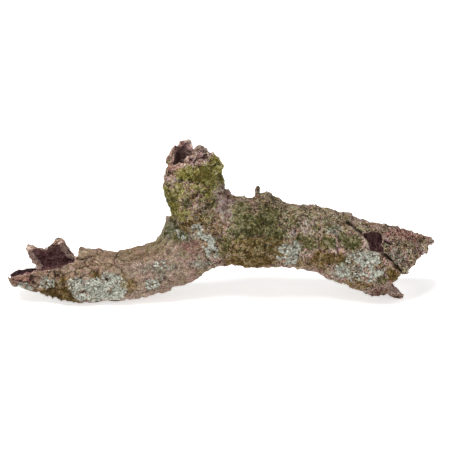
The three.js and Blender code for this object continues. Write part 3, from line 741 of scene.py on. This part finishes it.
bark_skin.bump((fine, 1.2 * MM), (grit, 0.7 * MM), (bark_skin.between(seam, 0.0, 0.3), 0.4 * MM))
wall.data.materials.clear()
wall.data.materials.append(bark_skin.material)
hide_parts("bark")
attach(wall, "root")


# The ground that the small growths stand on: the wall with its crumbs smoothed away. It isn't a piece of its
# own, and only serves to find places on the bark.
resting = wall.data.copy()
move_points(resting, evened(points, pairs, 8))
resting_form = bmesh.new()
resting_form.from_mesh(resting)
bmesh.ops.triangulate(resting_form, faces=resting_form.faces)
ground = BVHTree.FromBMesh(resting_form)
resting_form.free()


def spot_seen_at(across, down):
    """The place on the bark that the photograph shows at an image point, and the skin's direction there."""
    start = Vector(((across - PHOTO_ZERO[0]) / PHOTO_SCALE, 0, 0))
    start += UP * ((PHOTO_ZERO[1] - down) / PHOTO_SCALE)
    place, normal, _, _ = ground.ray_cast(start + BACK, -BACK)
    return place, normal


def many(name, parts, marks, material):
    """One piece from many small copies: each part is a pair of corner places and faces that index them."""
    piece_mesh = bpy.data.meshes.new(name)
    corners = np.concatenate([places for places, _ in parts])
    corners[:, 2] = np.maximum(corners[:, 2], 0)
    starts = np.cumsum([0] + [len(places) for places, _ in parts[:-1]])
    faces = np.concatenate([faces + start for (_, faces), start in zip(parts, starts)])
    piece_mesh.from_pydata(corners.tolist(), [], faces.tolist())
    for mark_name, values in marks.items():
        mark(piece_mesh, mark_name, np.concatenate(values))
    piece_mesh.materials.append(material)
    piece = bpy.data.objects.new(name, piece_mesh)
    scene.collection.objects.link(piece)
    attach(piece, "root")
    return piece


# The lichens: leafy rosettes, pale grey-green and dry as paper. Each is hundreds of thin forked lobes that
# overlap like scales, creep outwards over the bark and lift at their tips.
LOBE_LENGTH = 2.7 * MM
LOBE_WIDTH = 1.4 * MM
LOBE_THICKNESS = 0.22 * MM
LOBE_CROWDING = 0.85
LICHEN_ROSETTES = {
    # across, down, half width and half height in the photograph, and how closely the lobes stand
    "lichen_left_tip": [
        (26, 286, 6, 3, 0.8), (48, 282, 7, 4, 0.9),
    ],
    "lichen_left_arm": [
        (84, 291, 12, 10, 0.9), (78, 284, 7, 6, 0.8), (112, 290, 13, 11, 1.0), (108, 279, 8, 5, 0.9),
        (97, 296, 8, 6, 0.7), (119, 284, 7, 8, 0.9), (90, 298, 8, 4, 0.6), (94, 285, 6, 6, 0.5),
    ],
    "lichen_left_middle": [
        (153, 283, 6, 4, 0.8), (161, 264, 4, 3, 0.5), (160, 278, 4, 2, 0.5),
    ],
    "lichen_fork": [
        (207, 242, 6, 6, 1.7), (212, 251, 5, 5, 1.7), (197, 229, 6, 6, 0.55), (182, 234, 8, 3, 0.5),
        (195, 261, 5, 3, 0.5), (203, 236, 3, 3, 0.9),
    ],
    "lichen_right_middle": [
        (284, 249, 8, 5, 1.3), (294, 247, 4, 5, 1.2), (291, 258, 5, 8, 1.3), (280, 254, 4, 4, 0.6),
    ],
    "lichen_right_end": [
        (363, 259, 7, 6, 1.0), (374, 267, 6, 8, 1.0), (341, 270, 6, 5, 0.9), (353, 277, 4, 3, 0.5),
        (370, 256, 6, 4, 0.9), (371, 279, 4, 3, 0.5), (349, 257, 4, 4, 0.5), (362, 270, 4, 4, 0.4),
    ],
}

lobe_form = bmesh.new()
bmesh.ops.create_grid(lobe_form, x_segments=4, y_segments=4, size=0.5)
for corner in lobe_form.verts:
    along, side = corner.co.x + 0.5, corner.co.y * 2
    fork = 0.16 * math.cos(side * math.pi * 0.9) * step_between(0.4, 1, along)
    narrowing = 0.45 + 0.75 * math.sin(math.pi * (0.12 + 0.6 * along))
    corner.co.x = along - fork - 0.14 * side ** 4 * along
    corner.co.y = 0.5 * side * narrowing
    corner.co.z = 0.9 * along ** 2 - 0.35 * (1 - abs(side)) * along
lobe_form.verts.ensure_lookup_table()
LOBE_POINTS = np.array([corner.co[:] for corner in lobe_form.verts])
LOBE_FACES = np.array([[corner.index for corner in face.verts] for face in lobe_form.faces])
lobe_form.free()

lichen_skin = Finish("leafy lichen", 0.92)
lichen_skin.shader.inputs["Specular IOR Level"].default_value = 0.2
lobe_tone = lichen_skin.mark("tone")
lobe_grain = lichen_skin.noise(1.1 * MM, 3, 0.6)
# Each lobe is painted darker towards its base, painted shade where it lies under the lobes beyond it
thallus = lichen_skin.ramp(
    lichen_skin.sum((lobe_tone, 0.75), (lichen_skin.mark("tip"), 0.35), (lobe_grain, 2.1), -1.12),
    tone(70, 66, 56), tone(114, 112, 100), tone(150, 151, 139), tone(178, 179, 166), tone(206, 207, 194),
)
lichen_skin.colour(thallus)
lichen_skin.bump((lobe_grain, 0.3 * MM))


def lichen_lobes(name, rosettes, seed):
    """Lobes scattered in each rosette, pointing outwards, laid on the bark one over another."""
    draw = np.random.default_rng(seed)
    parts, tones, tips = [], [], []
    for across, down, half_width, half_height, density in rosettes:
        middle, normal = spot_seen_at(across, down)
        if middle is None:
            continue
        sideways = normal.cross(Vector((0, 0, 1))).normalized() * -1
        upwards = normal.cross(sideways).normalized() * -1
        reach_side = half_width / PHOTO_SCALE
        reach_up = half_height / PHOTO_SCALE / max(0.45, abs(upwards.dot(UP)))
        count = int(density * LOBE_CROWDING * math.pi * half_width * reach_up * PHOTO_SCALE)
        for _ in range(count):
            turn, share = draw.uniform(0, 2 * math.pi), math.sqrt(draw.uniform(0.02, 1))
            start = middle + sideways * (reach_side * share * math.cos(turn))
            start += upwards * (reach_up * share * math.sin(turn))
            heading = turn + draw.normal(0, 0.55)
            forward = sideways * math.cos(heading) + upwards * math.sin(heading)
            across_lobe = normal.cross(forward)
            size = draw.uniform(0.5, 1.25)
            if waves(np.array([start]), 4.5 * MM, seed)[0] < -0.4:
                continue
            base = (0.25 + 0.9 * (1 - share) * draw.uniform(0.3, 1)) * MM
            lift = draw.uniform(0.3, 1.0) * MM
            places = []
            for along, side, height in LOBE_POINTS:
                wanted = start + forward * (along * LOBE_LENGTH * size)
                wanted += across_lobe * (side * LOBE_WIDTH * size)
                place, skin_normal, _, _ = ground.find_nearest(wanted)
                places.append(place + skin_normal * (base + lift * height))
            top = np.array(places)
            under = top - np.array(normal) * LOBE_THICKNESS
            faces = np.concatenate([LOBE_FACES, LOBE_FACES[:, ::-1] + len(top)])
            parts.append((np.concatenate([top, under]), faces))
            tones.append(np.full(2 * len(top), draw.uniform(0, 1)))
            tips.append(np.tile(LOBE_POINTS[:, 0], 2))
    piece = many(name + "_lobes", parts, {"tone": tones, "tip": tips}, lichen_skin.material)
    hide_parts(name)
    for face in piece.data.polygons:
        face.use_smooth = True


for order, (lichen_name, rosettes) in enumerate(LICHEN_ROSETTES.items()):
    lichen_lobes(lichen_name, rosettes, 500 + order)


# The moss: low cushions of tiny shoots with pointed leaves, yellow-green on the stub, dark green at the
# fork and olive brown underneath. Shoots stand thickest where the moss marks on the wall are strongest.
SHOOT_LEAVES = 5
SHOOT_HEIGHT = 1.3 * MM
MOSSES = {
    # how many shoots, the tone at their feet, and their tips' tones from the darkest clumps to the palest
    "bright_moss": (4800, (104, 94, 46), (106, 92, 40), (168, 160, 78), (206, 200, 118), (230, 222, 176)),
    "dark_moss": (5600, (58, 56, 30), (66, 64, 32), (108, 107, 60), (154, 150, 96), (206, 198, 162)),
    "ochre_moss": (5600, (78, 61, 29), (90, 69, 30), (138, 112, 58), (178, 154, 96), (210, 190, 150)),
}

leaf_form = bmesh.new()
LEAF_OUTLINE = [(-0.16, 0, 0.1), (0.16, 0, 0.1), (0, 0.34, 0.72), (0, 0.5, 1.05)]
left, right, fold, point = [leaf_form.verts.new(place) for place in LEAF_OUTLINE]
leaf_form.faces.new((left, right, fold))
leaf_form.faces.new((fold, right, point))
leaf_form.verts.index_update()
LEAF_POINTS = np.array([corner.co[:] for corner in leaf_form.verts])
LEAF_FACES = np.array([[corner.index for corner in face.verts] for face in leaf_form.faces])
leaf_form.free()

wall.data.calc_loop_triangles()
triangles = np.empty(3 * len(wall.data.loop_triangles), dtype=np.int32)
wall.data.loop_triangles.foreach_get("vertices", triangles)
triangles = triangles.reshape(-1, 3)
first, second, third = (points[triangles[:, corner]] for corner in range(3))
triangle_areas = np.linalg.norm(np.cross(second - first, third - first), axis=1) / 2


def moss_shoots(name, shoots, foot, tip_tones, seed):
    """Shoots of small leaves, drawn over the wall's faces by the strength of their moss mark."""
    draw = np.random.default_rng(seed)
    strength = (growth[name] * outer_skin)[triangles].mean(axis=1)
    clumps = 0.7 * grain(first, 3.5 * MM, seed, 3)
    weight = triangle_areas * step_between(0.15, 0.4, strength) * step_between(0.4, 1.0, strength + clumps)
    chosen = draw.choice(len(triangles), size=shoots, p=weight / weight.sum())
    share = draw.dirichlet((1, 1, 1), size=shoots)
    roots = sum(share[:, corner, None] * points[triangles[chosen, corner]] for corner in range(3))
    stems = normals[triangles[chosen]].mean(axis=1) + np.array([0, 0, 0.25])
    stems = unit(stems + draw.normal(0, 0.25, (shoots, 3)))
    heights = SHOOT_HEIGHT * draw.uniform(0.4, 1.4, shoots)
    clump_tones = 0.52 + 0.9 * grain(roots, 2.4 * MM, seed + 9, 2) + draw.normal(0, 0.2, shoots)
    clump_tones += 0.3 * waves(roots, 7 * MM, seed + 5)
    # The shoots are painted darker where the wall is painted dark, partly for dark bark and partly as painted
    # shade
    clump_tones -= 0.3 * growth["dark_bark_and_shade"][triangles[chosen, 0]]
    around = draw.uniform(0, 2 * np.pi, shoots)
    sides = unit(np.cross(stems, [0.31, 0.17, 0.93]))
    fronts = np.cross(stems, sides)
    shape, tips = [], []
    for leaf in range(SHOOT_LEAVES):
        turn = around + leaf * 2 * np.pi / SHOOT_LEAVES
        out = sides * np.cos(turn)[:, None] + fronts * np.sin(turn)[:, None]
        wide = np.cross(stems, out)
        for side, forward, up in LEAF_POINTS:
            shape.append(roots + heights[:, None] * (wide * side * 1.4 + out * forward * 1.3 + stems * up))
            tips.append(np.full(shoots, up))
    places = np.stack(shape, axis=1).reshape(-1, 3)
    shoot_points = len(LEAF_POINTS) * SHOOT_LEAVES
    leaf_start = np.arange(shoots * SHOOT_LEAVES)[:, None, None] * len(LEAF_POINTS)
    faces = (LEAF_FACES[None] + leaf_start).reshape(-1, 3)
    finish = Finish(name.replace("_", " "), 0.85)
    finish.shader.inputs["Specular IOR Level"].default_value = 0.2
    green = finish.ramp(finish.mark("tone"), *(tone(*parts) for parts in tip_tones))
    green = finish.mix(finish.between(finish.mark("tip"), 0.75, 0.1), green, tone(*foot))
    finish.colour(green)
    marks = {"tip": [np.stack(tips, axis=1).ravel()], "tone": [np.repeat(clump_tones, shoot_points)]}
    many(name + "_shoots", [(places, faces)], marks, finish.material)


for order, (moss_name, (shoots, foot, *tip_tones)) in enumerate(MOSSES.items()):
    moss_shoots(moss_name, shoots, foot, tip_tones, 700 + order)


# The light and the floor: a plain pale floor under even studio light, brightest from above and the left.
# The floor shines a little of its own, so that it looks white as in the photograph.
FLOOR_HALF = 6
floor_form = bmesh.new()
bmesh.ops.create_grid(floor_form, x_segments=1, y_segments=1, size=FLOOR_HALF)
floor_mesh = bpy.data.meshes.new("floor")
floor_form.to_mesh(floor_mesh)
floor_form.free()
floor = bpy.data.objects.new("floor", floor_mesh)
scene.collection.objects.link(floor)
white = Finish("pale floor", 0.9)
white.shader.inputs["Base Color"].default_value = (0.93, 0.93, 0.93, 1)
white.shader.inputs["Emission Color"].default_value = (1, 1, 1, 1)
white.shader.inputs["Emission Strength"].default_value = 0.6
floor_mesh.materials.append(white.material)


def soft_light(name, place, size, watts):
    """A round soft light, turned to the origin."""
    lamp = bpy.data.lights.new(name, "AREA")
    lamp.shape = "DISK"
    lamp.size = size
    lamp.energy = watts
    holder = bpy.data.objects.new(name, lamp)
    scene.collection.objects.link(holder)
    holder.location = place
    holder.rotation_euler = Vector(place).to_track_quat("Z", "Y").to_euler()


soft_light("overhead", (-0.5, -0.5, 2.0), 1.2, 54)
soft_light("left front", (-1.6, -1.8, 1.2), 1.6, 8)
world = bpy.data.worlds.new("studio")
scene.world = world
world.use_nodes = True
world.node_tree.nodes["Background"].inputs["Color"].default_value = (1, 1, 1, 1)
world.node_tree.nodes["Background"].inputs["Strength"].default_value = 0.38
scene.view_settings.view_transform = "Standard"
